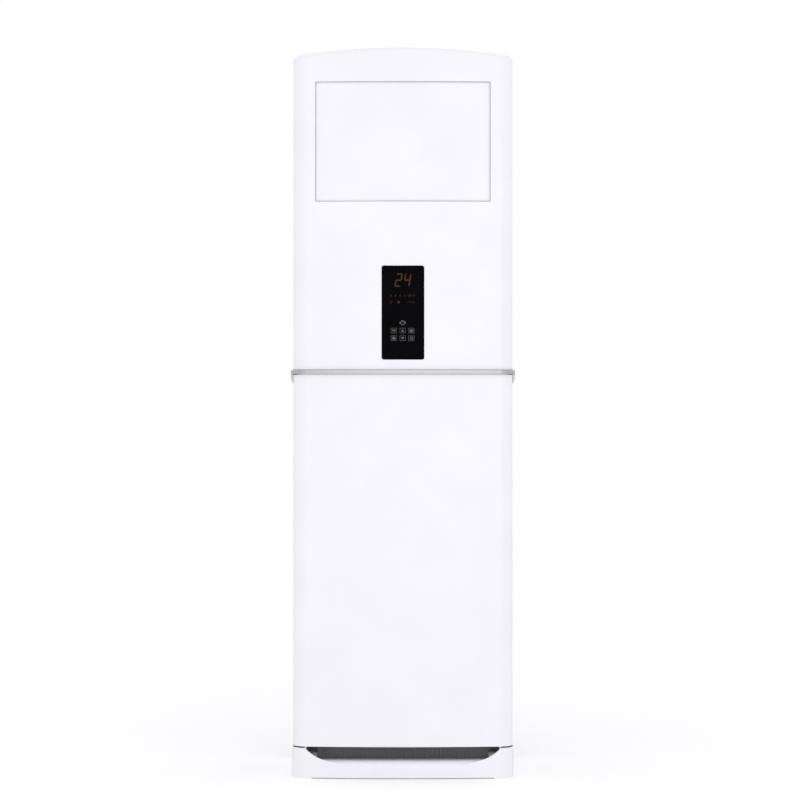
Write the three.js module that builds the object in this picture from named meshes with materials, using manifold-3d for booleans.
// Floor standing air conditioner, indoor cabinet.
// Millimetres, +Z up, front towards -Y, origin at the middle of the footprint on the floor.
import * as THREE from 'three';
import { mergeVertices } from 'three/addons/utils/BufferGeometryUtils.js';
import Module from 'manifold-3d';

const wasm = await Module();
wasm.setup();

// ---------------------------------------------------------------- driving sizes
// Casing
const width = 528; // across the painted sides
const height = 1750; // floor to the crown of the roof
const frontY = -169; // crown of the painted front
const rearY = 172; // outer face of the rear sheet
const crownRadius = 2600; // plan curve of the front
const cornerRadius = 35; // front vertical edges
const roofRadius = 1800; // arch of the roof, seen from the front
const topFillet = 9; // edge between roof and walls
const wall = 2.5; // moulded covers
const sheet = 1.2; // sheet metal
const beadDepth = 2.2; // stiffening beads pressed into the rear sheet
const seam = 0.6; // shadow gap between fixed covers
const seat = 0.3; // gap where one piece sits against another
const flangeRear = -110.8; // rear end of the front covers' side flanges
const skirtZ = 1700; // lower edge of the top cover

// Plinth, trim and lower front panel
const plinthHeight = 73;
const plinthFlare = 2.5; // plinth stands out past the sides
const plinthRoll = 16; // rolled edge below the air slot
const rollStartZ = 28;
const slotHalfTop = 236; // air slot at the plinth's top edge
const slotHalfBowl = 168; // where the slot's curved ends meet the rolled edge
const slotHalfFlat = 120; // level stretch of the slot
const footRelief = 2; // plinth edge lifted between its corner lands
const footLand = 45; // length of each corner land
const trimZ = 968;
const trimHeight = 10;
const trimProud = 6;
const earDrop = 22; // trim ends taper into the sides below the band
const panelBottom = 76.2;
const panelPivotY = -150;
const panelPivotZ = 79;
const panelPinRadius = 2.5;
const panelPinX = 230; // shoulder where the hinge pin starts
const pinLength = 6;
const runClear = 0.35; // radial gap round a turning pin

// Air outlet, door and its drive
const outletHalf = 209.75;
const outletLow = 1381;
const outletHigh = 1668;
const doorLap = 8; // door behind the front panel's edge
const doorSideLap = 12;
const doorWall = 2.5;
const doorGap = 0.8; // door behind the front panel
const doorSlope = 0.1; // backward run for each unit of drop
const doorDropPast = 1; // open door's top edge below the outlet
const toothModule = 3;
const pinionTeeth = 12;
const rackThick = 7;
const rackBacking = 6.5; // door's back to the pitch line at the rack's top end
const guidePinRadius = 2.2;
const guidePinReach = 7;
const railGap = 1.2;
const railThick = 6;
const shaftRadius = 4;

// Louvres and vanes
const ductHalf = 205;
const ductLow = 1385;
const ductHigh = 1664;
const ductWall = 3;
const ductFront = -128;
const ductRear = 12;
const louvreCount = 4;
const louvreChord = 46;
const louvreThick = 3.2;
const louvrePivotY = -92;
const louvreCrank = 17;
const vaneCount = 5;
const vaneChord = 40;
const vaneThick = 2;
const vanePivotY = -22;
const vaneCrank = 14;
const bladePin = 2.5;
const linkWidth = 7;
const linkThick = 2.4;
const crankPin = 1.5;
const endGap = 1.2; // blade end to the duct wall

// Display
const glassWidth = 101;
const glassLow = 1003;
const glassHigh = 1227;
const glassThick = 2;
const glassProud = 0.5;
const glassCorner = 5;
const displayDepth = 10; // housing behind the front panel

// Fan
const fanZ = 330;
const wheelRadius = 140;
const hubRadius = 100; // inner ends of the blades
const wheelFront = -58;
const wheelDepth = 110;
const bladeCount = 26;
const bladeThick = 1.6;
const scrollGap = 12; // wheel rim to the scroll's cut-off
const scrollGrowth = 13; // spiral growth for each radian
const scrollWall = 2.4;
const scrollTop = 600;
const scrollSide = 10; // wheel to the scroll's side plates
const inletRadius = 112;
const motorRadius = 58;
const motorLength = 70;
const motorShaft = 6;

// Heat exchanger
const coilHalf = 200;
const coilLowY = -52;
const coilLowZ = 712;
const coilHighY = 118;
const coilHighZ = 1130;
const coilThick = 44;
const finPitch = 25;
const finThick = 12;
const tubeRadius = 4.8;
const bendCount = 5;
const endPlate = 1.5;

// Services
const pipeExitX = 190;
const pipeExitZ = 140;
const pipeExitRadius = 44;
const gasPipeRadius = 9.5;
const liquidPipeRadius = 4.8;
const hoseRadius = 9;
const cableHoleX = -190;
const cableHoleRadius = 14;

// Side intakes
const intakeLow = 110;
const intakeHigh = 770;
const intakeFront = -45;
const intakeRear = 95;
const slatPitch = 40;
const slatGap = 22;
const grilleLap = 7;

// ---------------------------------------------------------------- finishes
const finish = (color, roughness, metalness = 0) =>
  new THREE.MeshStandardMaterial({ color, roughness, metalness });
const white = finish(0xf7f7fa, 0.32);
const silver = finish(0xc9c8cc, 0.35, 0.6);
const darkGlass = finish(0x08080a, 0.08);
const charcoal = finish(0x3a393c, 0.6);
const grey = finish(0xb8babd, 0.5);
const zinc = finish(0xb4b8bb, 0.4, 0.9);
const aluminium = finish(0xc8ccd0, 0.35, 0.9);
const copper = finish(0xb87048, 0.35, 0.95);
const foam = finish(0xf2f2ee, 0.85);
const boardGreen = finish(0x1f5a3a, 0.55);
const black = finish(0x1c1c1e, 0.6);
const rubber = finish(0x26262a, 0.85);

// ---------------------------------------------------------------- shaping helpers
const model = new THREE.Group();

// A closed geometry as a solid that can be joined and cut.
function solid(geometry) {
  geometry.deleteAttribute('normal');
  geometry.deleteAttribute('uv');
  const merged = mergeVertices(geometry, 1e-4);
  return new wasm.Manifold(
    new wasm.Mesh({
      numProp: 3,
      vertProperties: merged.attributes.position.array,
      triVerts: new Uint32Array(merged.index.array),
    }),
  );
}

function part(name, body, material) {
  const mesh = body.getMesh();
  const geometry = new THREE.BufferGeometry();
  geometry.setAttribute('position', new THREE.BufferAttribute(mesh.vertProperties, 3));
  geometry.setIndex(new THREE.BufferAttribute(mesh.triVerts, 1));
  const item = new THREE.Mesh(geometry, material);
  item.name = name;
  model.add(item);
  return item;
}

function box(x0, x1, y0, y1, z0, z1) {
  const geometry = new THREE.BoxGeometry(x1 - x0, y1 - y0, z1 - z0);
  geometry.translate((x0 + x1) / 2, (y0 + y1) / 2, (z0 + z1) / 2);
  return solid(geometry);
}

const straight = (depth, curveSegments) => ({ depth, bevelEnabled: false, curveSegments });

// A shape drawn in X and Y, raised from z0 to z1.
function alongZ(shape, z0, z1, steps = 6) {
  const geometry = new THREE.ExtrudeGeometry(shape, straight(z1 - z0, steps));
  geometry.translate(0, 0, z0);
  return solid(geometry);
}

// A shape drawn in X and Z, from y0 back to y1.
function alongY(shape, y0, y1, steps = 6) {
  const geometry = new THREE.ExtrudeGeometry(shape, straight(y1 - y0, steps));
  geometry.rotateX(Math.PI / 2);
  geometry.translate(0, y1, 0);
  return solid(geometry);
}

// A shape drawn in Y and Z, from x0 across to x1.
function alongX(shape, x0, x1, steps = 6) {
  const geometry = new THREE.ExtrudeGeometry(shape, straight(x1 - x0, steps));
  const turn = new THREE.Matrix4().makeBasis(
    new THREE.Vector3(0, 1, 0),
    new THREE.Vector3(0, 0, 1),
    new THREE.Vector3(1, 0, 0),
  );
  geometry.applyMatrix4(turn);
  geometry.translate(x0, 0, 0);
  return solid(geometry);
}

function outline(points) {
  return new THREE.Shape(points.map(([a, b]) => new THREE.Vector2(a, b)));
}

function rounded(a0, a1, b0, b1, radius) {
  const shape = new THREE.Shape();
  shape.absarc(a1 - radius, b0 + radius, radius, -Math.PI / 2, 0);
  shape.absarc(a1 - radius, b1 - radius, radius, 0, Math.PI / 2);
  shape.absarc(a0 + radius, b1 - radius, radius, Math.PI / 2, Math.PI);
  shape.absarc(a0 + radius, b0 + radius, radius, Math.PI, 1.5 * Math.PI);
  return shape;
}

// A straight slot with round ends between two points of its plane.
function slotShape(a0, b0, a1, b1, radius) {
  const angle = Math.atan2(b1 - b0, a1 - a0);
  const shape = new THREE.Shape();
  shape.absarc(a1, b1, radius, angle - Math.PI / 2, angle + Math.PI / 2);
  shape.absarc(a0, b0, radius, angle + Math.PI / 2, angle + 1.5 * Math.PI);
  return shape;
}

function rodX(radius, x0, x1, y, z, sides = 16) {
  const geometry = new THREE.CylinderGeometry(radius, radius, x1 - x0, sides);
  geometry.rotateZ(-Math.PI / 2);
  geometry.translate((x0 + x1) / 2, y, z);
  return solid(geometry);
}

function rodY(radius, y0, y1, x, z, sides = 24) {
  const geometry = new THREE.CylinderGeometry(radius, radius, y1 - y0, sides);
  geometry.translate(x, (y0 + y1) / 2, z);
  return solid(geometry);
}

function rodZ(radius, z0, z1, x, y, sides = 12) {
  const geometry = new THREE.CylinderGeometry(radius, radius, z1 - z0, sides);
  geometry.rotateX(Math.PI / 2);
  geometry.translate(x, y, (z0 + z1) / 2);
  return solid(geometry);
}

// A round bar along a smooth route of points.
function bar(points, radius, sides, steps) {
  const path = new THREE.CatmullRomCurve3(points.map((p) => new THREE.Vector3(...p)));
  const section = new THREE.Shape();
  section.absarc(0, 0, radius, 0, 2 * Math.PI);
  const options = { steps, extrudePath: path, curveSegments: sides / 2, bevelEnabled: false };
  return solid(new THREE.ExtrudeGeometry(section, options));
}

const join = (pieces) => pieces.reduce((whole, piece) => whole.add(piece));
const cut = (body, tools) => tools.reduce((left, tool) => left.subtract(tool), body);

// ---------------------------------------------------------------- casing form
const halfWidth = width / 2;
const crownCentreY = frontY + crownRadius;
const cornerX = halfWidth - cornerRadius;
const cornerReach = crownRadius - cornerRadius;
const cornerY = crownCentreY - Math.sqrt(cornerReach ** 2 - cornerX ** 2);
const crownAngle = Math.asin(cornerX / cornerReach);
const crownSteps = 6;
const cornerSteps = 4;

// How far the crowned front falls back at a distance from the middle.
const crownFall = (x) => crownRadius - Math.sqrt(crownRadius ** 2 - x ** 2);

// The front's plan line from the left side to the right side, moved inwards by inset.
function frontLine(inset) {
  const points = [];
  const arc = (x, y, radius, from, to, steps, start) => {
    for (let i = start; i <= steps; i += 1) {
      const angle = from + ((to - from) * i) / steps;
      points.push([x + radius * Math.cos(angle), y + radius * Math.sin(angle)]);
    }
  };
  const down = 1.5 * Math.PI;
  arc(-cornerX, cornerY, cornerRadius - inset, Math.PI, down - crownAngle, cornerSteps, 0);
  arc(0, crownCentreY, crownRadius - inset, down - crownAngle, down + crownAngle, crownSteps, 1);
  arc(cornerX, cornerY, cornerRadius - inset, down + crownAngle, 2 * Math.PI, cornerSteps, 1);
  return points;
}

// Plan of everything inside the front line, back to y = rear.
function regionShape(inset, rear) {
  const half = halfWidth - inset;
  return outline([...frontLine(inset), [half, rear], [-half, rear]]);
}

// Plan of a wall that follows the front line between two insets, open at the back.
function bandShape(outer, inner, rear) {
  const outside = [[-halfWidth + outer, rear], ...frontLine(outer), [halfWidth - outer, rear]];
  const inside = [[-halfWidth + inner, rear], ...frontLine(inner), [halfWidth - inner, rear]];
  return outline([...outside, ...inside.reverse()]);
}

// A closed solid through rings that follow the casing's plan; each ring gives its inset
// and its height at any x. Front and back points share their x, so roofs stay true arches.
function casingLoft(rings, rear) {
  const positions = [];
  const index = [];
  const lines = rings.map((ring) => {
    const front = frontLine(ring.inset).map(([x, y]) => [x, y, ring.z(x)]);
    const back = front.map(([x, , z]) => [x, rear - ring.inset, z]).reverse();
    return [...front, ...back];
  });
  const count = lines[0].length;
  lines.forEach((line) => line.forEach((point) => positions.push(...point)));
  for (let r = 0; r < rings.length - 1; r += 1) {
    for (let i = 0; i < count; i += 1) {
      const a = r * count + i;
      const b = r * count + ((i + 1) % count);
      index.push(a, b, b + count, a, b + count, a + count);
    }
  }
  const top = (rings.length - 1) * count;
  for (let i = 0; i < count / 2 - 1; i += 1) {
    const j = count - 1 - i;
    index.push(i, j, j - 1, i, j - 1, i + 1);
    index.push(top + i, top + j - 1, top + j, top + i, top + i + 1, top + j - 1);
  }
  const geometry = new THREE.BufferGeometry();
  geometry.setAttribute('position', new THREE.Float32BufferAttribute(positions, 3));
  geometry.setIndex(index);
  return solid(geometry);
}

const roofZ = (x, drop) => height - drop - roofRadius + Math.sqrt(roofRadius ** 2 - x ** 2);

// The upper casing as one filled form, moved inwards by inset, from zLow to the roof.
function upperForm(inset, zLow) {
  const fillet = topFillet - inset;
  const steps = 3;
  const rings = [{ inset, z: () => zLow }];
  for (let i = 0; i <= steps; i += 1) {
    const angle = (i / steps) * (Math.PI / 2);
    const drop = inset + fillet * (1 - Math.sin(angle));
    rings.push({ inset: inset + fillet * (1 - Math.cos(angle)), z: (x) => roofZ(x, drop) });
  }
  return casingLoft(rings, rearY);
}

const far = 2000; // half size of the blocks that trim large forms

// ---------------------------------------------------------------- covers
const outletWindow = () =>
  alongY(rounded(-outletHalf, outletHalf, outletLow, outletHigh, 2), -far, 0, 3);
const glassWindow = (clear) =>
  alongY(
    rounded(
      -glassWidth / 2 - clear,
      glassWidth / 2 + clear,
      glassLow - clear,
      glassHigh + clear,
      glassCorner,
    ),
    -far,
    0,
    4,
  );

function makeUpperFront() {
  const low = trimZ + trimHeight + seam;
  const inside = upperForm(wall, low - 1);
  const shell = upperForm(0, low).subtract(inside).subtract(box(-far, far, flangeRear, far, 0, far));
  // Upright ribs stiffen the panel beside the display.
  const ribs = [-110, 110].map((x) => {
    const rib = box(x - 1, x + 1, frontY, frontY + crownFall(x) + 9, low + 12, 1300);
    return rib.intersect(alongZ(regionShape(wall - 0.5, flangeRear), low, 1310));
  });
  part('upper_front_panel', cut(join([shell, ...ribs]), [outletWindow(), glassWindow(seat)]), white);
}

function makeTopCover() {
  const inside = upperForm(wall, skirtZ - 1);
  const front = box(-far, far, -far, flangeRear + seam, 0, far);
  part('top_cover', cut(upperForm(0, skirtZ), [inside, front]), white);
}

// The trim strip wraps the front; each end runs down the side in a taper.
function makeTrim() {
  const top = trimZ + trimHeight;
  const strip = alongZ(bandShape(-trimProud, 5, flangeRear), trimZ, top);
  const ear = outline([
    [seat, trimZ + 1],
    [seat, trimZ - earDrop],
    [1, trimZ - earDrop],
    [trimProud, trimZ - earDrop / 2],
    [trimProud, trimZ + 1],
  ]);
  const ears = [-1, 1].map((side) => {
    const shape = outline(ear.getPoints().map((p) => [side * (halfWidth + p.x), p.y]));
    return alongY(shape, cornerY, flangeRear);
  });
  part('trim_strip', join([strip, ...ears]), silver);
}

// A shelf behind the trim ties the two side panels together and carries both front panels.
function makeCrossBeam() {
  const shelfZ = trimZ + 3;
  const rear = flangeRear + seam - seat;
  const shelf = alongZ(regionShape(5 + seat, rear), shelfZ, shelfZ + sheet);
  const lip = box(-halfWidth + 12, halfWidth - 12, rear - sheet, rear, shelfZ - 26, shelfZ + sheet);
  const openings = [-1, 1].map((side) =>
    box(side * 140 - 75, side * 140 + 75, -150, -124, shelfZ - 1, shelfZ + sheet + 1),
  );
  part('cross_beam', cut(join([shelf, lip]), openings), zinc);
}

// The lower front panel opens about pins near its bottom corners.
function makeLowerFront() {
  const top = trimZ - seam;
  const shell = alongZ(bandShape(0, wall, flangeRear), panelBottom, top);
  // The flanges' top ends fall away so that they pass under the trim as the panel opens.
  const fall = 3.2;
  const topRun = outline([
    [frontY + 12, top + 1],
    [frontY + 12, top],
    [flangeRear, top - fall],
    [flangeRear + 1, top - fall],
    [flangeRear + 1, top + 1],
  ]);
  const region = alongZ(regionShape(0.5, flangeRear), panelBottom, top);
  const ribs = [-115, 115].map((x) =>
    box(x - 1, x + 1, frontY, frontY + crownFall(x) + 9, panelBottom + 14, top - 20),
  );
  const rails = [340, 660].map((z) =>
    alongZ(bandShape(0.5, 8, cornerY), z, z + 2),
  );
  const hubs = [-1, 1].map((side) => {
    const x = side * (panelPinX - 2);
    const webShape = rounded(frontY, panelPivotY + 6, panelPivotZ - 2.5, panelPivotZ + 14, 2);
    const web = alongX(webShape, x - 2, x + 2);
    const [from, to] = side > 0 ? [x, x + 2 + pinLength] : [x - 2 - pinLength, x];
    return join([web, rodX(panelPinRadius, from, to, panelPivotY, panelPivotZ)]);
  });
  const inner = join([...ribs, ...rails, ...hubs]).intersect(region);
  part('lower_front_panel', cut(join([shell, inner]), [alongX(topRun, -far, far)]), white);
}

// The plinth: a rolled tub edge below the air slot, with higher ends and sides.
function plinthRings(extra, low) {
  const radius = plinthRoll - extra;
  const rings = [{ inset: extra - plinthFlare, z: () => low }];
  const steps = 4;
  for (let i = 0; i <= steps; i += 1) {
    const angle = (i / steps) * (Math.PI / 2);
    const inset = extra - plinthFlare + radius * (1 - Math.cos(angle));
    const z = rollStartZ + radius * Math.sin(angle);
    rings.push({ inset, z: () => z });
  }
  return rings;
}

function makePlinth() {
  const rear = rearY - seam;
  const rollTop = rollStartZ + plinthRoll;
  const tub = casingLoft(plinthRings(0, 0), rear).subtract(casingLoft(plinthRings(wall, -1), rear));
  const shelfRear = frontY + 34;
  const behind = box(-far, far, shelfRear, far, -far, far);
  const band = alongZ(bandShape(-plinthFlare, wall - plinthFlare, rear), 0, plinthHeight);
  const slot = new THREE.Shape();
  const top = plinthHeight + 1;
  const bowlZ = rollTop - 4;
  slot.moveTo(-slotHalfTop, top);
  slot.bezierCurveTo(20 - slotHalfTop, top - 20, -slotHalfBowl - 32, bowlZ + 5, -slotHalfBowl, bowlZ);
  slot.lineTo(-slotHalfFlat, rollStartZ);
  slot.lineTo(slotHalfFlat, rollStartZ);
  slot.lineTo(slotHalfBowl, bowlZ);
  slot.bezierCurveTo(slotHalfBowl + 32, bowlZ + 5, slotHalfTop - 20, top - 20, slotHalfTop, top);
  const relief = box(-halfWidth + footLand, halfWidth - footLand, -far, cornerY, -1, footRelief);
  const brackets = [-1, 1].map((side) => {
    const x = side * (panelPinX + 3.2);
    return alongX(rounded(panelPivotY - 3.9, panelPivotY + 6, 30, panelPivotZ + 5, 2), x - 2, x + 2);
  });
  const pinHoles = [-1, 1].map((side) => {
    const x = side * (panelPinX + 3.2);
    return rodX(panelPinRadius + runClear, x - 4, x + 4, panelPivotY, panelPivotZ);
  });
  const front = tub.subtract(behind).intersect(box(-far, far, -far, far, -1, rollTop + 1));
  const ends = band.subtract(alongY(slot, -far, cornerY + 4, 6));
  const whole = join([front, ends, ...brackets]);
  part('plinth_cover', cut(whole, [relief, ...pinHoles]), white);
}

const chassisFront = frontY + 46;
const trayLow = 20;
const trayHigh = 46;

// Dark intake grille set back in the plinth's air slot.
function makePlinthGrille() {
  const thick = 3;
  const y = chassisFront - seat - thick;
  const low = 33;
  const high = panelBottom - 6;
  const half = 206;
  const plate = box(-half, half, y, y + thick, low, high);
  const slots = [];
  const pitch = 21;
  for (let x = -half + 14; x <= half - 14; x += pitch) {
    slots.push(box(x - 7, x + 7, y - 1, y + 4, low + 8, high - 5));
  }
  part('plinth_grille', cut(plate, slots), charcoal);
}

function makeSidePanel(side) {
  const skin = halfWidth - sheet;
  const front = flangeRear + seam + seat;
  const rear = rearY - sheet - seat;
  const low = plinthHeight + seam;
  const high = skirtZ - seam;
  const fold = 12;
  const profile = [
    [halfWidth, front],
    [halfWidth, rear],
    [halfWidth - fold, rear],
    [halfWidth - fold, rear - sheet],
    [skin, rear - sheet],
    [skin, front + sheet],
    [halfWidth - fold, front + sheet],
    [halfWidth - fold, front],
  ];
  const body = alongZ(outline(profile.map(([x, y]) => [side * x, y])), low, high);
  const window = rounded(intakeFront, intakeRear, intakeLow, intakeHigh, 8);
  const hole = alongX(window, side > 0 ? 0 : -far, side > 0 ? far : 0, 4);
  part(side > 0 ? 'side_panel_right' : 'side_panel_left', body.subtract(hole), white);
}

// A moulded grille fills the side panel's window, with slats that turn the air upwards.
function makeSideGrille(side) {
  const back = halfWidth - sheet - seat;
  const lap = grilleLap;
  const rim = alongX(
    rounded(intakeFront - lap, intakeRear + lap, intakeLow - lap, intakeHigh + lap, 10),
    back - 2,
    back,
    4,
  );
  const clear = 0.4;
  const plug = alongX(
    rounded(intakeFront + clear, intakeRear - clear, intakeLow + clear, intakeHigh - clear, 8),
    back - 2,
    halfWidth + 0.6,
    4,
  );
  const slots = [];
  const slant = 5;
  for (let z = intakeLow + slatPitch; z < intakeHigh - slatPitch / 2; z += slatPitch) {
    const shape = outline([
      [back - 4, z - slatGap / 2 + slant],
      [halfWidth + 3, z - slatGap / 2 - slant],
      [halfWidth + 3, z + slatGap / 2 - slant],
      [back - 4, z + slatGap / 2 + slant],
    ]);
    slots.push(alongY(shape, intakeFront + 8, intakeRear - 8));
  }
  const grille = cut(join([rim, plug]), slots);
  const body = side > 0 ? grille : grille.mirror([1, 0, 0]);
  part(side > 0 ? 'side_grille_right' : 'side_grille_left', body, white);
}

function makeAirFilter(side) {
  const x = halfWidth - sheet - seat - 2 - seat;
  const thick = 5;
  const frame = [intakeFront - 5, intakeRear + 5, intakeLow - 5, intakeHigh + 5];
  const border = 6;
  const columns = 2;
  const rows = 5;
  const cellY = (frame[1] - frame[0] - border) / columns;
  const cellZ = (frame[3] - frame[2] - border) / rows;
  const windows = [];
  for (let c = 0; c < columns; c += 1) {
    for (let r = 0; r < rows; r += 1) {
      const y = frame[0] + border + c * cellY;
      const z = frame[2] + border + r * cellZ;
      windows.push(box(x - thick - 1, x + 1, y, y + cellY - border, z, z + cellZ - border));
    }
  }
  const lattice = cut(alongX(rounded(...frame, 4), x - thick, x, 3), windows);
  const body = side > 0 ? lattice : lattice.mirror([1, 0, 0]);
  part(side > 0 ? 'air_filter_right' : 'air_filter_left', body, grey);
}

function makeRearPanel() {
  const half = halfWidth - 1.5;
  const plate = box(-half, half, rearY - sheet, rearY, plinthHeight + seam, skirtZ - seam);
  const beadSteps = 3;
  const beadHalf = 170;
  const levels = [500, 960, 1420];
  const bead = (z, radius, y0, y1) =>
    alongY(slotShape(-beadHalf, z, beadHalf, z, radius), y0, y1, beadSteps);
  const beads = levels.map((z) => bead(z, 9, rearY - sheet - beadDepth, rearY - sheet + 0.4));
  const grooves = levels.map((z) => bead(z, 6, rearY - sheet - 1, rearY + 1));
  const exit = rodY(pipeExitRadius, 0, far, pipeExitX, pipeExitZ, 20);
  const cable = rodY(cableHoleRadius, 0, far, cableHoleX, pipeExitZ, 12);
  part('rear_panel', cut(join([plate, ...beads]), [...grooves, exit, cable]), zinc);
}

function makeCableGrommet() {
  const y = rearY - sheet;
  const groove = cableHoleRadius - seat;
  const lip = groove + 3;
  const bore = 6;
  const lipThick = 2.2;
  const profile = [
    [bore, -lipThick],
    [lip, -lipThick],
    [lip, -seat],
    [groove, -seat],
    [groove, sheet + seat],
    [lip, sheet + seat],
    [lip, sheet + lipThick],
    [bore, sheet + lipThick],
    [bore, -lipThick],
  ].map(([r, h]) => new THREE.Vector2(r, h));
  const geometry = new THREE.LatheGeometry(profile, 12);
  geometry.translate(cableHoleX, y, pipeExitZ);
  part('cable_grommet', solid(geometry), rubber);
}

// Angle bracket that ties the cabinet's back to a wall against tipping.
function makeWallBracket() {
  const back = rearY + 3;
  const half = 45;
  const low = 1620;
  const high = 1684;
  const plate = box(-half, half, back - 2.7, back, low, high);
  const slots = [-28, 28].map((x) =>
    alongY(slotShape(x, high - 30, x, high - 16, 3.5), back - 4, back + 1),
  );
  part('wall_bracket', cut(plate, slots), zinc);
}

// Pressed tray on four foot rings; its side upstands hold the side panels.
function makeBaseChassis() {
  const half = halfWidth - seat;
  const inner = halfWidth - sheet - seat;
  const rear = rearY - 2 * (sheet + seat);
  const tray = box(-half, half, chassisFront, rear, trayLow, trayHigh).subtract(
    box(-half + 2, half - 2, chassisFront + 2, rear - 2, trayLow + 2, trayHigh + 1),
  );
  const upstands = [-1, 1].map((side) => {
    const [x0, x1] = side > 0 ? [inner - 2, inner] : [-inner, 2 - inner];
    return box(x0, x1, flangeRear + seam + 2, rear, trayLow, plinthHeight + 27);
  });
  const feet = [-1, 1].flatMap((side) =>
    [chassisFront + 30, rear - 30].map((y) => {
      const rim = rodZ(24, 0, trayLow + 1, side * (half - 44), y, 16);
      return rim.subtract(rodZ(8, -1, trayLow - 4, side * (half - 44), y, 8));
    }),
  );
  const drain = rodZ(7, 0, 60, 0, rear - 60, 12);
  part('base_chassis', cut(join([tray, ...upstands, ...feet]), [drain]), zinc);
}

// ---------------------------------------------------------------- outlet door and drive
const doorFace = wall + doorGap; // inset of the door's front
const doorBack = doorFace + doorWall;
const doorHalf = outletHalf + doorSideLap;
const doorLow = outletLow - doorLap;
const doorHigh = outletHigh + doorLap;
const slopeAngle = Math.atan(doorSlope);
const rackOuter = doorHalf - 1.75;
const rackInner = rackOuter - rackThick;
const rackX = (rackOuter + rackInner) / 2;
const doorBackAtRack = frontY + doorBack + crownFall(rackX);
const toothPitch = Math.PI * toothModule;
const toothTip = 0.7 * toothModule; // short teeth, so that a small pinion runs free
const toothRoot = 0.95 * toothModule;
const toothSlack = 0.35; // taken off each tooth's thickness
const pressure = (20 * Math.PI) / 180;
const pinionRadius = (toothModule * pinionTeeth) / 2;
const shaftZ = ductLow - ductWall - 10;
const rackLow = shaftZ - 22;

// The rack's pitch line, parallel to the door's path.
const pitchY = (z) => doorBackAtRack + rackBacking + doorSlope * (doorHigh - z);
const meshZ = shaftZ - pinionRadius * Math.sin(slopeAngle);
const shaftY = pitchY(meshZ) + pinionRadius * Math.cos(slopeAngle);
// Both guide pins ride in one straight slot.
const guideY = (z) => doorBackAtRack + guidePinRadius + 0.4 + doorSlope * (doorHigh - z);
const guideTop = doorHigh - 12;
const guideLow = doorLow + 12;
const doorDrop = doorHigh - outletLow + doorDropPast;

function makeDoor() {
  const slab = alongZ(bandShape(doorFace, doorBack, 0), doorLow, doorHigh);
  const limits = box(-doorHalf, doorHalf, -far, 0, 0, far);
  const ribs = [0.2, 0.4, 0.6, 0.8].map((share) => {
    const z = doorLow + share * (doorHigh - doorLow);
    return alongZ(bandShape(doorBack - 0.4, doorBack + 4, 0), z - 1, z + 1);
  });
  const inner = box(-rackInner + 3, rackInner - 3, -far, 0, 0, far);
  part('outlet_door', slab.intersect(limits).add(join(ribs).intersect(inner)), white);
}

// Straight-sided teeth along the slanted pitch line, with a tooth centred on the mesh point.
function makeDoorRack(side) {
  const along = [Math.sin(slopeAngle), -Math.cos(slopeAngle)];
  const back = [Math.cos(slopeAngle), Math.sin(slopeAngle)];
  const place = (s, depth) => [
    pitchY(meshZ) + s * along[0] + depth * back[0],
    meshZ + s * along[1] + depth * back[1],
  ];
  const first = -Math.floor((doorHigh - meshZ) / toothPitch) + 1;
  const last = Math.floor((meshZ - rackLow) / toothPitch) - 1;
  const half = toothPitch / 4 - toothSlack / 2;
  const lean = Math.tan(pressure);
  const teeth = [];
  for (let k = first; k <= last; k += 1) {
    const s = k * toothPitch;
    teeth.push(place(s - half - toothRoot * lean, -toothRoot));
    teeth.push(place(s - half + toothTip * lean, toothTip));
    teeth.push(place(s + half - toothTip * lean, toothTip));
    teeth.push(place(s + half + toothRoot * lean, -toothRoot));
  }
  const front = frontY + doorBack + crownFall(rackOuter) + seat;
  const points = [[front, doorHigh], ...teeth, [teeth.at(-1)[0], rackLow], [front, rackLow + 30]];
  const body = alongX(outline(points), rackInner, rackOuter);
  const pins = [guideTop, guideLow].map((z) =>
    rodX(guidePinRadius, rackOuter - 1, rackOuter + guidePinReach, guideY(z), z, 8),
  );
  const rack = join([body, ...pins]);
  part(side > 0 ? 'door_rack_right' : 'door_rack_left', side > 0 ? rack : rack.mirror([1, 0, 0]), grey);
}

// Involute pinion outline in Y and Z with a tooth space facing the mesh point.
function pinionShape() {
  const base = pinionRadius * Math.cos(pressure);
  const involute = (angle) => Math.tan(angle) - angle;
  const halfAt = (r) => {
    const turn = Math.acos(Math.min(1, base / r));
    const flat = (toothPitch / 2 - toothSlack) / (2 * pinionRadius);
    return flat + involute(pressure) - involute(turn);
  };
  const root = pinionRadius - toothRoot;
  const tip = pinionRadius + toothTip;
  const flank = [base + 0.3, tip].map((r) => [r, halfAt(r)]);
  const half = [[root, halfAt(base)], ...flank];
  const toMesh = Math.PI + slopeAngle;
  const points = [];
  for (let k = 0; k < pinionTeeth; k += 1) {
    const middle = toMesh + ((k + 0.5) * 2 * Math.PI) / pinionTeeth;
    half.forEach(([r, a]) => points.push([middle - a, r]));
    [...half].reverse().forEach(([r, a]) => points.push([middle + a, r]));
  }
  return outline(points.map(([a, r]) => [shaftY + r * Math.cos(a), shaftZ + r * Math.sin(a)]));
}

const railInner = doorHalf + railGap;
const railOuter = railInner + railThick;
const railRear = -76;
const railHigh = doorHigh + 6;
const railLow = guideLow - doorDrop - 14;

function makeDoorShaft() {
  const reach = railOuter + 7;
  const bar1 = rodX(shaftRadius, -railOuter - 1, reach, shaftY, shaftZ);
  // Each pinion stops short of the guide pins on the rack's outer face.
  const inner = rackInner + 0.3;
  const outer = rackOuter - 1.6;
  const pinions = [
    alongX(pinionShape(), inner, outer),
    alongX(pinionShape(), -outer, -inner),
  ];
  part('door_shaft', join([bar1, ...pinions]), black);
}

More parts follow.
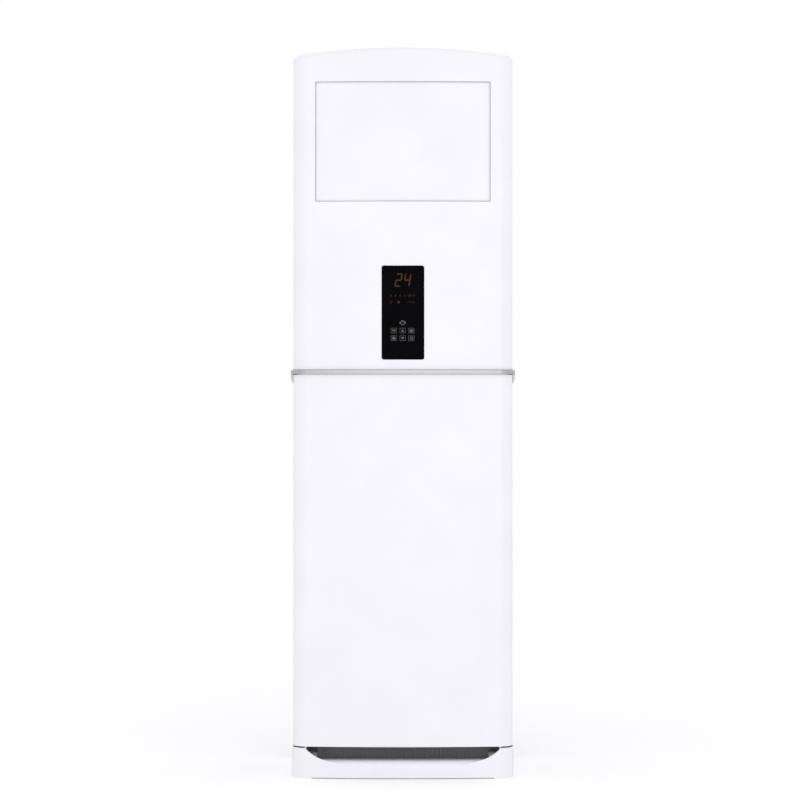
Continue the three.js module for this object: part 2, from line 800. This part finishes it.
// Rail plate beside the outlet: a slanted slot guides the door's pins.
function makeDoorRail(side) {
  const front = (z) => guideY(z) - guidePinRadius - runClear - 1.2;
  const shape = outline([
    [front(railHigh), railHigh],
    [front(railLow), railLow],
    [railRear, railLow],
    [railRear, railHigh],
  ]);
  const topEnd = guideTop + 1;
  const lowEnd = guideLow - doorDrop - 1;
  const slot = slotShape(guideY(topEnd), topEnd, guideY(lowEnd), lowEnd, guidePinRadius + runClear);
  shape.holes.push(outline(slot.getPoints(5).map((p) => [p.x, p.y])));
  const plate = alongX(shape, railInner, railOuter);
  const bearing = rodX(shaftRadius + runClear, railInner - 1, railOuter + 1, shaftY, shaftZ);
  const reach = halfWidth - sheet - seat;
  const feet = [railLow + 10, shaftZ + 60, railHigh - 16].map((z) =>
    box(railOuter - 1, reach, railRear - 22, railRear, z, z + 3),
  );
  const rail = cut(join([plate, ...feet]), [bearing]);
  part(side > 0 ? 'door_rail_right' : 'door_rail_left', side > 0 ? rail : rail.mirror([1, 0, 0]), grey);
}

// Geared motor on the right rail, its socket over the shaft's end.
function makeDoorMotor() {
  const x = railOuter + seat;
  const can = rodX(15, x, x + 19, shaftY, shaftZ, 24);
  const ear = box(x, x + 2, shaftY - 21, shaftY + 21, shaftZ - 6, shaftZ + 6);
  const socket = rodX(shaftRadius + runClear, x - 1, x + 9, shaftY, shaftZ);
  part('door_motor', cut(join([can, ear]), [socket]), zinc);
}

// ---------------------------------------------------------------- louvres and vanes
const louvrePitch = (ductHigh - ductLow) / louvreCount;
const louvreZ = (i) => ductLow + louvrePitch * (i + 0.5);
const bladeLeft = -ductHalf + 2 * endGap + linkThick;
const bladeRight = ductHalf - endGap;
const vanePitch = (2 * ductHalf) / vaneCount;
const vaneX = (i) => -ductHalf + vanePitch * (i + 0.5);
const vaneLow = ductLow + 2 * endGap + linkThick;
const vaneHigh = ductHigh - endGap;
const drivenLouvre = Math.floor(louvreCount / 2);
const drivenVane = Math.floor(vaneCount / 2);

// Thin aerofoil section about (0, 0), its chord along the first axis.
function bladeSection(chord, thick, turn) {
  const points = [];
  const steps = 3;
  for (let i = 0; i <= steps; i += 1) {
    const t = i / steps;
    points.push([chord * (t - 0.5), (thick / 2) * (0.35 + 0.65 * Math.sin(Math.PI * t))]);
  }
  for (let i = steps; i >= 0; i -= 1) {
    const t = i / steps;
    points.push([chord * (t - 0.5), (-thick / 2) * (0.35 + 0.65 * Math.sin(Math.PI * t))]);
  }
  return points.map(([a, b]) => turn(a, b));
}

function makeLouvre(i) {
  const z = louvreZ(i);
  const shape = outline(bladeSection(louvreChord, louvreThick, (a, b) => [louvrePivotY + a, z + b]));
  const blade = alongX(shape, bladeLeft, bladeRight);
  const reach = ductHalf + ductWall;
  const drive = i === drivenLouvre ? 6 : 0;
  const pins = [
    rodX(bladePin, -reach - drive, bladeLeft + 1, louvrePivotY, z, 8),
    rodX(bladePin, bladeRight - 1, reach, louvrePivotY, z, 8),
    rodX(crankPin, bladeLeft - endGap - linkThick, bladeLeft + 1, louvrePivotY + louvreCrank, z, 6),
  ];
  part(`louvre_${i + 1}`, join([blade, ...pins]), white);
}

function makeLouvreLink() {
  const y = louvrePivotY + louvreCrank;
  const shape = slotShape(y, louvreZ(0), y, louvreZ(louvreCount - 1), linkWidth / 2);
  const link = alongX(shape, bladeLeft - endGap - linkThick, bladeLeft - endGap);
  const holes = [];
  for (let i = 0; i < louvreCount; i += 1) {
    holes.push(rodX(crankPin + runClear, -ductHalf, bladeLeft, y, louvreZ(i), 8));
  }
  part('louvre_link', cut(link, holes), grey);
}

function makeVane(i) {
  const x = vaneX(i);
  const shape = outline(bladeSection(vaneChord, vaneThick, (a, b) => [x - b, vanePivotY + a]));
  const blade = alongZ(shape, vaneLow, vaneHigh);
  const drive = i === drivenVane ? 6 : 0;
  const pins = [
    rodZ(bladePin, ductLow - ductWall, vaneLow + 1, x, vanePivotY, 8),
    rodZ(bladePin, vaneHigh - 1, ductHigh + ductWall + drive, x, vanePivotY, 8),
    rodZ(crankPin, vaneLow - endGap - linkThick, vaneLow + 1, x, vanePivotY + vaneCrank, 6),
  ];
  part(`vane_${i + 1}`, join([blade, ...pins]), white);
}

function makeVaneLink() {
  const y = vanePivotY + vaneCrank;
  const shape = slotShape(vaneX(0), y, vaneX(vaneCount - 1), y, linkWidth / 2);
  const link = alongZ(shape, vaneLow - endGap - linkThick, vaneLow - endGap);
  const holes = [];
  for (let i = 0; i < vaneCount; i += 1) {
    holes.push(rodZ(crankPin + runClear, ductLow, vaneLow, vaneX(i), y, 8));
  }
  part('vane_link', cut(link, holes), grey);
}

function makeOutletFrame() {
  const half = ductHalf + ductWall;
  const tube = box(-half, half, ductFront, ductRear, ductLow - ductWall, ductHigh + ductWall);
  const bore = box(-ductHalf, ductHalf, ductFront - 1, ductRear + 1, ductLow, ductHigh);
  const tabReach = railInner - seat;
  const tabs = [-1, 1].flatMap((side) =>
    [ductLow + 12, ductHigh - 16].map((z) => {
      const [x0, x1] = side > 0 ? [half - 1, tabReach] : [-tabReach, 1 - half];
      return box(x0, x1, railRear - 24, railRear - 4, z, z + 3);
    }),
  );
  const clear = bladePin + runClear;
  const holes = [];
  for (let i = 0; i < louvreCount; i += 1) {
    holes.push(rodX(clear, -half - 1, half + 1, louvrePivotY, louvreZ(i), 8));
  }
  for (let i = 0; i < vaneCount; i += 1) {
    holes.push(rodZ(clear, ductLow - ductWall - 1, ductHigh + ductWall + 1, vaneX(i), vanePivotY, 8));
  }
  part('outlet_frame', cut(join([tube.subtract(bore), ...tabs]), holes), white);
}

function makeLouvreMotor() {
  const x = -ductHalf - ductWall - seat;
  const z = louvreZ(drivenLouvre);
  const can = rodX(12, x - 13, x, louvrePivotY, z, 20);
  const ear = box(x - 1.5, x, louvrePivotY - 17, louvrePivotY + 17, z - 4, z + 4);
  const socket = rodX(bladePin + runClear, x - 8, x + 1, louvrePivotY, z, 12);
  part('louvre_motor', cut(join([can, ear]), [socket]), zinc);
}

function makeVaneMotor() {
  const z = ductHigh + ductWall + seat;
  const x = vaneX(drivenVane);
  const can = rodZ(12, z, z + 14, x, vanePivotY, 20);
  const ear = box(x - 17, x + 17, vanePivotY - 4, vanePivotY + 4, z, z + 1.5);
  const socket = rodZ(bladePin + runClear, z - 1, z + 8, x, vanePivotY);
  part('vane_motor', cut(join([can, ear]), [socket]), zinc);
}

// ---------------------------------------------------------------- display
function makeDisplay() {
  const half = glassWidth / 2;
  const front = frontY - glassProud;
  const glassBack = front + glassThick;
  const glass = rounded(-half, half, glassLow, glassHigh, glassCorner - seat);
  part('display_glass', alongY(glass, front, glassBack, 4), darkGlass);
  const panelBack = frontY + wall;
  const lip = 6;
  const back = panelBack + displayDepth;
  const neck = alongY(
    rounded(-half, half, glassLow, glassHigh, glassCorner - seat),
    glassBack + seat,
    panelBack + 3,
    4,
  );
  const bodyFront = panelBack + crownFall(half + lip) + seat;
  const body = alongY(
    rounded(-half - lip, half + lip, glassLow - lip, glassHigh + lip, glassCorner),
    bodyFront,
    back,
    4,
  );
  const room = box(-half + 2, half - 2, bodyFront + 1.8, back + 1, glassLow + 2, glassHigh - 2);
  part('display_housing', cut(join([neck, body]), [room]), black);
  const boardY = bodyFront + 3.6;
  const board = box(-half + 4, half - 4, boardY, boardY + 1.6, glassLow + 4, glassHigh - 4);
  const lamp = box(-20, 20, boardY - 1.5, boardY + 0.4, glassHigh - 60, glassHigh - 18);
  const keys = [-21, 0, 21].map((x) =>
    box(x - 6, x + 6, boardY - 1.5, boardY + 0.4, glassLow + 50, glassLow + 62),
  );
  const plug = box(28, 40, boardY + 1, boardY + 3.5, glassLow + 20, glassLow + 50);
  part('display_board', join([board, lamp, ...keys, plug]), boardGreen);
}

// ---------------------------------------------------------------- fan
const fanX = -16;
const wheelRear = wheelFront + wheelDepth;
const cutOffAngle = (50 * Math.PI) / 180;
const spiralStart = wheelRadius + scrollGap;
const spiralEnd = spiralStart + scrollGrowth * (2 * Math.PI - cutOffAngle);
const flueLeft = fanX + spiralStart * Math.cos(cutOffAngle);
const flueRight = fanX + spiralEnd;
const scrollFront = wheelFront - scrollSide;
const scrollRear = wheelRear + scrollSide;
const motorFront = scrollRear + scrollWall + 2.6;
const boreClear = runClear;

// The scroll's outline in X and Z: a spiral that opens into a straight flue.
function scrollShape(extra, from, top) {
  const steps = 24;
  const points = [];
  for (let i = 0; i <= steps; i += 1) {
    const angle = from + ((2 * Math.PI - from) * i) / steps;
    const radius = spiralStart + scrollGrowth * (angle - cutOffAngle) + extra;
    points.push([fanX + radius * Math.cos(angle), fanZ + radius * Math.sin(angle)]);
  }
  points.push([flueRight + extra, top], [flueLeft - extra, top]);
  return outline(points);
}

function makeFanScroll() {
  const outer = alongY(
    scrollShape(scrollWall, cutOffAngle + 0.05, scrollTop),
    scrollFront - scrollWall,
    scrollRear + scrollWall,
  );
  const room = alongY(scrollShape(0, cutOffAngle, scrollTop + 5), scrollFront, scrollRear);
  const inlet = rodY(inletRadius + 4, scrollFront - 9, scrollFront + 1, fanX, fanZ, 30);
  const shaftHole = rodY(34, scrollRear - 1, scrollRear + 9, fanX, fanZ, 16);
  const flange = box(
    flueLeft - scrollWall - 8,
    flueRight + scrollWall + 8,
    scrollFront - scrollWall - 8,
    scrollRear + scrollWall + 8,
    scrollTop - 3,
    scrollTop,
  );
  const legs = [-1, 1].flatMap((side) =>
    [scrollFront + 6, scrollRear - 12].map((y) => {
      const x = fanX + side * 120;
      return box(x - 14, x + 14, y, y + 6, 22 + seat, fanZ - 100);
    }),
  );
  part('fan_scroll', cut(join([outer, flange, ...legs]), [room, inlet, shaftHole]), grey);
}

// Bellmouth that leads the air into the wheel.
function makeInletRing() {
  const front = scrollFront - scrollWall;
  const lip = inletRadius + 4 - seat;
  const profile = [
    [inletRadius - 4, scrollFront + 7],
    [inletRadius - 2, scrollFront + 7],
    [inletRadius + 1, scrollFront - 1],
    [lip, front - seat],
    [lip + 10, front - seat],
    [lip + 10, front - seat - 2],
    [lip + 2, front - seat - 2],
    [inletRadius - 1, scrollFront - 2],
    [inletRadius - 4, scrollFront + 7],
  ].map(([r, y]) => new THREE.Vector2(r, y));
  const geometry = new THREE.LatheGeometry(profile.reverse(), 30);
  geometry.translate(fanX, 0, fanZ);
  part('inlet_ring', solid(geometry), grey);
}

// Forward-curved blade between the wheel's inner and outer radius, drawn in X and Z.
function bladeShape(turn) {
  const inner = hubRadius + 14;
  const outer = wheelRadius - 1;
  const steps = 3;
  const sweep = 0.2;
  const side = (offset) => {
    const points = [];
    for (let i = 0; i <= steps; i += 1) {
      const t = i / steps;
      const r = inner + (outer - inner) * t;
      const angle = turn + sweep * Math.sin((t - 0.35) * Math.PI * 0.75) + offset / r;
      points.push([fanX + r * Math.cos(angle), fanZ + r * Math.sin(angle)]);
    }
    return points;
  };
  return outline([...side(-bladeThick / 2), ...side(bladeThick / 2).reverse()]);
}

function makeFanWheel() {
  const ringDepth = 4;
  const plateThick = 2;
  const front = rodY(wheelRadius, wheelFront, wheelFront + ringDepth, fanX, fanZ, 26).subtract(
    rodY(hubRadius + 13, wheelFront - 1, wheelFront + ringDepth + 1, fanX, fanZ, 26),
  );
  const plate = rodY(wheelRadius, wheelRear - plateThick, wheelRear, fanX, fanZ, 26);
  const domeProfile = [
    [0, wheelRear - 44],
    [18, wheelRear - 44],
    [22, wheelRear - 38],
    [30, wheelRear - 20],
    [52, wheelRear - 6],
    [70, wheelRear - plateThick / 2],
    [0, wheelRear - plateThick / 2],
  ].map(([r, y]) => new THREE.Vector2(r, y));
  const dome = new THREE.LatheGeometry(domeProfile, 16);
  dome.translate(fanX, 0, fanZ);
  const shaft = rodY(motorShaft, wheelRear - 50, motorFront + 22, fanX, fanZ, 12);
  const blades = [];
  for (let i = 0; i < bladeCount; i += 1) {
    const shape = bladeShape((i * 2 * Math.PI) / bladeCount);
    blades.push(alongY(shape, wheelFront + ringDepth / 2, wheelRear - plateThick / 2));
  }
  part('fan_wheel', join([front, plate, solid(dome), shaft, ...blades]), black);
}

function makeFanMotor() {
  const can = rodY(motorRadius, motorFront, motorFront + motorLength, fanX, fanZ, 24);
  const boss = rodY(20, motorFront + motorLength - 1, motorFront + motorLength + 8, fanX, fanZ, 12);
  const socket = rodY(motorShaft + boreClear, motorFront - 1, motorFront + 24, fanX, fanZ, 12);
  const ribs = [0, 1, 2, 3, 4, 5, 6, 7].map((i) => {
    const angle = (i * Math.PI) / 4 + Math.PI / 8;
    const x = fanX + (motorRadius - 1) * Math.cos(angle);
    const z = fanZ + (motorRadius - 1) * Math.sin(angle);
    return rodY(3.2, motorFront + 12, motorFront + motorLength - 12, x, z, 6);
  });
  part('fan_motor', join([can, boss, ...ribs]).subtract(socket), zinc);
}

// Plate that carries the motor on the scroll's back.
function makeMotorBracket() {
  const y = scrollRear + scrollWall + seat;
  const half = 72;
  const plate = alongY(rounded(fanX - half, fanX + half, fanZ - half, fanZ + half, 14), y, y + 2, 3);
  const hole = rodY(30, y - 1, y + 3, fanX, fanZ, 16);
  const corners = [-1, 1].flatMap((a) =>
    [-1, 1].map((b) => rodY(3, y - 1, y + 3, fanX + a * (half - 10), fanZ + b * (half - 10), 6)),
  );
  part('motor_bracket', cut(plate, [hole, ...corners]), zinc);
}

// ---------------------------------------------------------------- heat exchanger
const coilRun = Math.hypot(coilHighY - coilLowY, coilHighZ - coilLowZ);
const coilTilt = Math.atan2(coilHighY - coilLowY, coilHighZ - coilLowZ);

const bendPitch = coilRun / (2 * bendCount);
const bendReach = 14;

// Lays a form built upright at the origin onto the slanted coil.
const ontoCoil = (body) =>
  body.rotate([(-coilTilt * 180) / Math.PI, 0, 0]).translate([0, coilLowY, coilLowZ]);

function makeCoilFins() {
  const count = Math.round((2 * coilHalf) / finPitch);
  const core = coilThick / 2 - 9;
  const skin = coilThick / 2;
  const edge = (side) => {
    const points = [];
    for (let i = 0; i < count; i += 1) {
      const x = -coilHalf + (i * (2 * coilHalf - finThick)) / (count - 1);
      points.push([x, side * core], [x, side * skin], [x + finThick, side * skin]);
      points.push([x + finThick, side * core]);
    }
    return points;
  };
  const shape = outline([...edge(-1), ...edge(1).reverse()]);
  part('evaporator_fins', ontoCoil(alongZ(shape, 0, coilRun)), aluminium);
}

// End plate with the hairpin bends that link one tube to the next.
function makeCoilEnd(side) {
  const face = coilHalf + seat;
  const plate = box(
    face,
    face + endPlate,
    -plateHalf,
    plateHalf,
    -plateMargin,
    coilRun + plateMargin,
  );
  const bends = [];
  for (let i = 0; i < bendCount; i += 1) {
    const z = bendPitch * (2 * i + 1);
    const start = face + endPlate / 2;
    const turn = [-60, 0, 60].map((degrees) => {
      const angle = (degrees * Math.PI) / 180;
      return [start + 4 + bendReach * Math.cos(angle), 0, z + (bendPitch / 2) * Math.sin(angle)];
    });
    const route = [[start, 0, z - bendPitch / 2], [start + 4, 0, z - bendPitch / 2], ...turn];
    route.push([start + 4, 0, z + bendPitch / 2], [start, 0, z + bendPitch / 2]);
    bends.push(bar(route, tubeRadius, 6, 8));
  }
  const end = ontoCoil(join([plate, ...bends]));
  const body = side > 0 ? end : end.mirror([1, 0, 0]);
  part(side > 0 ? 'coil_end_right' : 'coil_end_left', body, copper);
}

const panFront = coilLowY - 40;
const panRear = coilLowY + 44;
const panHigh = coilLowZ - 4;
const panLow = panHigh - 34;
const panSpoutX = 150;
const plateMargin = 3; // coil end plates stand past the fins
const plateHalf = coilThick / 2 + plateMargin;
const plateLow = coilLowZ - plateHalf * Math.sin(coilTilt) - plateMargin * Math.cos(coilTilt);
const restHigh = plateLow - seat;

function makeDrainPan() {
  const half = coilHalf + 26;
  const reach = halfWidth - sheet - seat;
  const body = box(-half, half, panFront, panRear, panLow, panHigh);
  const ears = box(-reach, reach, panFront, panFront + 28, panHigh - 4, panHigh);
  const room = box(-half + 2, half - 2, panFront + 2, panRear - 2, panLow + 2, panHigh + 1);
  const notch = 15;
  const rests = [-1, 1].map((side) =>
    box(side * coilHalf - 6, side * coilHalf + 6, coilLowY + 10, coilLowY + 26, panLow + 1, restHigh),
  );
  const spout = rodZ(hoseRadius - 2, panLow - notch, panLow + 1, panSpoutX, panRear - 14, 16);
  const bore = rodZ(hoseRadius - 4, panLow - notch - 1, panLow + 3, panSpoutX, panRear - 14, 16);
  part('drain_pan', cut(join([body, ears]), [room]).add(join([...rests, spout])).subtract(bore), foam);
}

// Foam duct from the coil to the outlet: a curved back turns the air forwards.
function makeDuctLiner() {
  const half = halfWidth - 42;
  const inner = ductHalf + ductWall;
  const back = rearY - sheet - beadDepth - seat;
  const low = coilHighZ + 30;
  const apronLow = 770;
  const top = 1692;
  const face = ductRear + seat;
  const under = ductLow - ductWall - seat;
  const outer = outline([
    [railRear + 2, low],
    [back, low],
    [back, top],
    [face, top],
    [face, under],
    [railRear + 2, under],
  ]);
  const room = new THREE.Shape();
  const rearWall = back - 18;
  const throat = ductHigh - 160;
  room.moveTo(railRear + 14, low - 1);
  room.lineTo(rearWall, low - 1);
  room.lineTo(rearWall, throat);
  room.absellipse(face, throat, rearWall - face, ductHigh - throat, 0, Math.PI / 2, false);
  room.lineTo(railRear + 14, ductHigh);
  const shell = alongX(outer, -half, half).subtract(alongX(room, -inner, inner, 10));
  const apron = box(-half, half, railRear + 2, railRear + 14, apronLow, low + 1);
  part('duct_liner', join([shell, apron]), foam);
}

// ---------------------------------------------------------------- electrics
const boxLeft = -200;
const boxRight = 110;
const boxFront = -150;
const boxRear = -98;
const boxLow = 725;
const boxHigh = 925;

function makeElectricBox() {
  const shell = box(boxLeft, boxRight, boxFront, boxRear, boxLow, boxHigh).subtract(
    box(boxLeft + sheet, boxRight - sheet, boxFront - 1, boxRear - sheet, boxLow + sheet, boxHigh - sheet),
  );
  const reach = halfWidth - sheet - seat;
  const strap = box(-reach, reach, boxRear - sheet, boxRear, boxHigh - 40, boxHigh);
  const plate = box(boxRight - 1, 190, boxRear - sheet, boxRear, boxLow, boxHigh - 30);
  const entry = rodZ(9, boxLow - 1, boxLow + 3, boxRight - 40, boxFront + 26, 16);
  part('electric_box', cut(join([shell, strap, plate]), [entry]), zinc);
}

function makeElectricCover() {
  const back = boxFront - seat;
  const side = seat + sheet;
  const lid = box(boxLeft - side, boxRight + side, back - sheet, back + 10, boxLow, boxHigh);
  const room = box(boxLeft - seat, boxRight + seat, back, back + 11, boxLow - 1, boxHigh + 1);
  const vents = [];
  for (let x = boxLeft + 60; x < boxRight - 50; x += 34) {
    vents.push(alongY(slotShape(x, boxHigh - 60, x, boxHigh - 25, 4), back - 3, back + 2, 3));
  }
  part('electric_box_cover', cut(lid, [room, ...vents]), zinc);
}

// Board with its relays, transformer, smoothing capacitor and connectors.
function makeMainBoard() {
  const back = boxRear - sheet - seat - 6;
  const face = back - 1.6;
  const board = box(boxLeft + 12, boxRight - 12, face, back, boxLow + 12, boxHigh - 12);
  const posts = [boxLeft + 22, boxRight - 22].flatMap((x) =>
    [boxLow + 20, boxHigh - 20].map((z) => rodY(3, back - 1, boxRear - sheet - seat, x, z, 8)),
  );
  const relays = [0, 1, 2, 3].map((i) => {
    const x = boxLeft + 30 + i * 26;
    return box(x, x + 18, face - 17, face + 0.5, boxLow + 30, boxLow + 54);
  });
  const transformer = box(boxRight - 80, boxRight - 34, face - 30, face + 0.5, boxLow + 28, boxLow + 66);
  const capacitor = rodY(14, face - 26, face + 0.5, boxRight - 56, boxHigh - 52, 20);
  const chip = box(boxLeft + 60, boxLeft + 82, face - 3, face + 0.5, boxHigh - 80, boxHigh - 58);
  const sockets = [0, 1, 2, 3, 4].map((i) => {
    const x = boxLeft + 24 + i * 34;
    return box(x, x + 22, face - 9, face + 0.5, boxHigh - 36, boxHigh - 26);
  });
  const pieces = [board, ...posts, ...relays, transformer, capacitor, chip, ...sockets];
  part('main_board', join(pieces), boardGreen);
}

function makeTerminalBlock() {
  const back = boxRear - sheet - seat;
  const x0 = boxRight + 22;
  const x1 = x0 + 40;
  const low = boxLow + 20;
  const ways = 6;
  const pitch = 16;
  const body = box(x0, x1, back - 22, back, low, low + ways * pitch);
  const bays = [];
  for (let i = 0; i < ways; i += 1) {
    const z = low + i * pitch + 2;
    bays.push(box(x0 - 1, x0 + 15, back - 23, back - 10, z, z + pitch - 4));
    bays.push(box(x1 - 15, x1 + 1, back - 23, back - 10, z, z + pitch - 4));
  }
  part('terminal_block', cut(body, bays), black);
}

// ---------------------------------------------------------------- pipes
const nutDepth = 20;
const pipeEnd = rearY + 2;

function makePipe(name, route, radius, endX, endZ) {
  const bore = radius * 0.75;
  const points = [...route, [endX, pipeEnd - nutDepth - 30, endZ], [endX, pipeEnd - 4, endZ]];
  const tube = bar(points, radius, 8, 18);
  const nut = rodY(radius * 1.6, pipeEnd - nutDepth, pipeEnd, endX, endZ, 6);
  const mouth = rodY(bore, pipeEnd - nutDepth + 4, pipeEnd + 1, endX, endZ, 12);
  part(name, join([tube, nut]).subtract(mouth), copper);
}

// A point on the coil's middle plane, at a run from its lower edge.
const coilPoint = (run) => [coilLowY + run * Math.sin(coilTilt), coilLowZ + run * Math.cos(coilTilt)];

function makePipes() {
  const endFace = coilHalf + seat + endPlate + seat;
  const [gasY, gasZ] = coilPoint(2 * bendPitch);
  const [liquidY, liquidZ] = coilPoint(4 * bendPitch);
  makePipe(
    'gas_pipe',
    [
      [endFace, gasY, gasZ],
      [endFace + 14, gasY, gasZ],
      [endFace + 28, gasY + 40, gasZ - 30],
      [endFace + 30, 110, 700],
      [endFace + 28, 132, 600],
      [endFace + 26, 138, 400],
      [endFace + 14, 136, 230],
    ],
    gasPipeRadius,
    pipeExitX + 16,
    pipeExitZ + 12,
  );
  makePipe(
    'liquid_pipe',
    [
      [endFace, liquidY, liquidZ],
      [endFace + 10, liquidY, liquidZ],
      [endFace + 14, liquidY + 40, liquidZ - 40],
      [endFace + 8, 124, 740],
      [endFace - 6, 128, 620],
      [endFace - 16, 134, 400],
      [endFace - 24, 132, 230],
    ],
    liquidPipeRadius,
    pipeExitX - 20,
    pipeExitZ + 10,
  );
}

function makeDrainHose() {
  const x = panSpoutX;
  const y = panRear - 14;
  const points = [
    [x, y, panLow - 2.5],
    [x, y, panLow - 20],
    [x, y + 24, panLow - 36],
    [x, 70, panLow - 40],
    [x + 2, 108, 560],
    [x + 4, 116, 440],
    [x + 4, 116, 220],
    [x + 14, 116, 130],
    [pipeExitX - 4, 140, pipeExitZ - 25],
    [pipeExitX - 4, pipeEnd, pipeExitZ - 26],
  ];
  const hose = bar(points, hoseRadius, 8, 20);
  const socket = rodZ(hoseRadius - 2 + seat, panLow - 16, panLow, x, y, 16);
  part('drain_hose', hose.subtract(socket), grey);
}

// ---------------------------------------------------------------- the whole cabinet
makeBaseChassis();
makePlinth();
makePlinthGrille();
makeRearPanel();
makeTopCover();
makeUpperFront();
makeLowerFront();
makeTrim();
makeCrossBeam();
makeCableGrommet();
makeWallBracket();
makeDoor();
makeDoorShaft();
makeDoorMotor();
[-1, 1].forEach((side) => {
  makeSidePanel(side);
  makeSideGrille(side);
  makeAirFilter(side);
  makeDoorRail(side);
  makeDoorRack(side);
  makeCoilEnd(side);
});
makeOutletFrame();
for (let i = 0; i < louvreCount; i += 1) {
  makeLouvre(i);
}
makeLouvreLink();
makeLouvreMotor();
for (let i = 0; i < vaneCount; i += 1) {
  makeVane(i);
}
makeVaneLink();
makeVaneMotor();
makeDisplay();
makeFanScroll();
makeInletRing();
makeFanWheel();
makeFanMotor();
makeMotorBracket();
makeCoilFins();
makeDrainPan();
makeDuctLiner();
makeElectricBox();
makeElectricCover();
makeMainBoard();
makeTerminalBlock();
makePipes();
makeDrainHose();

export default model;
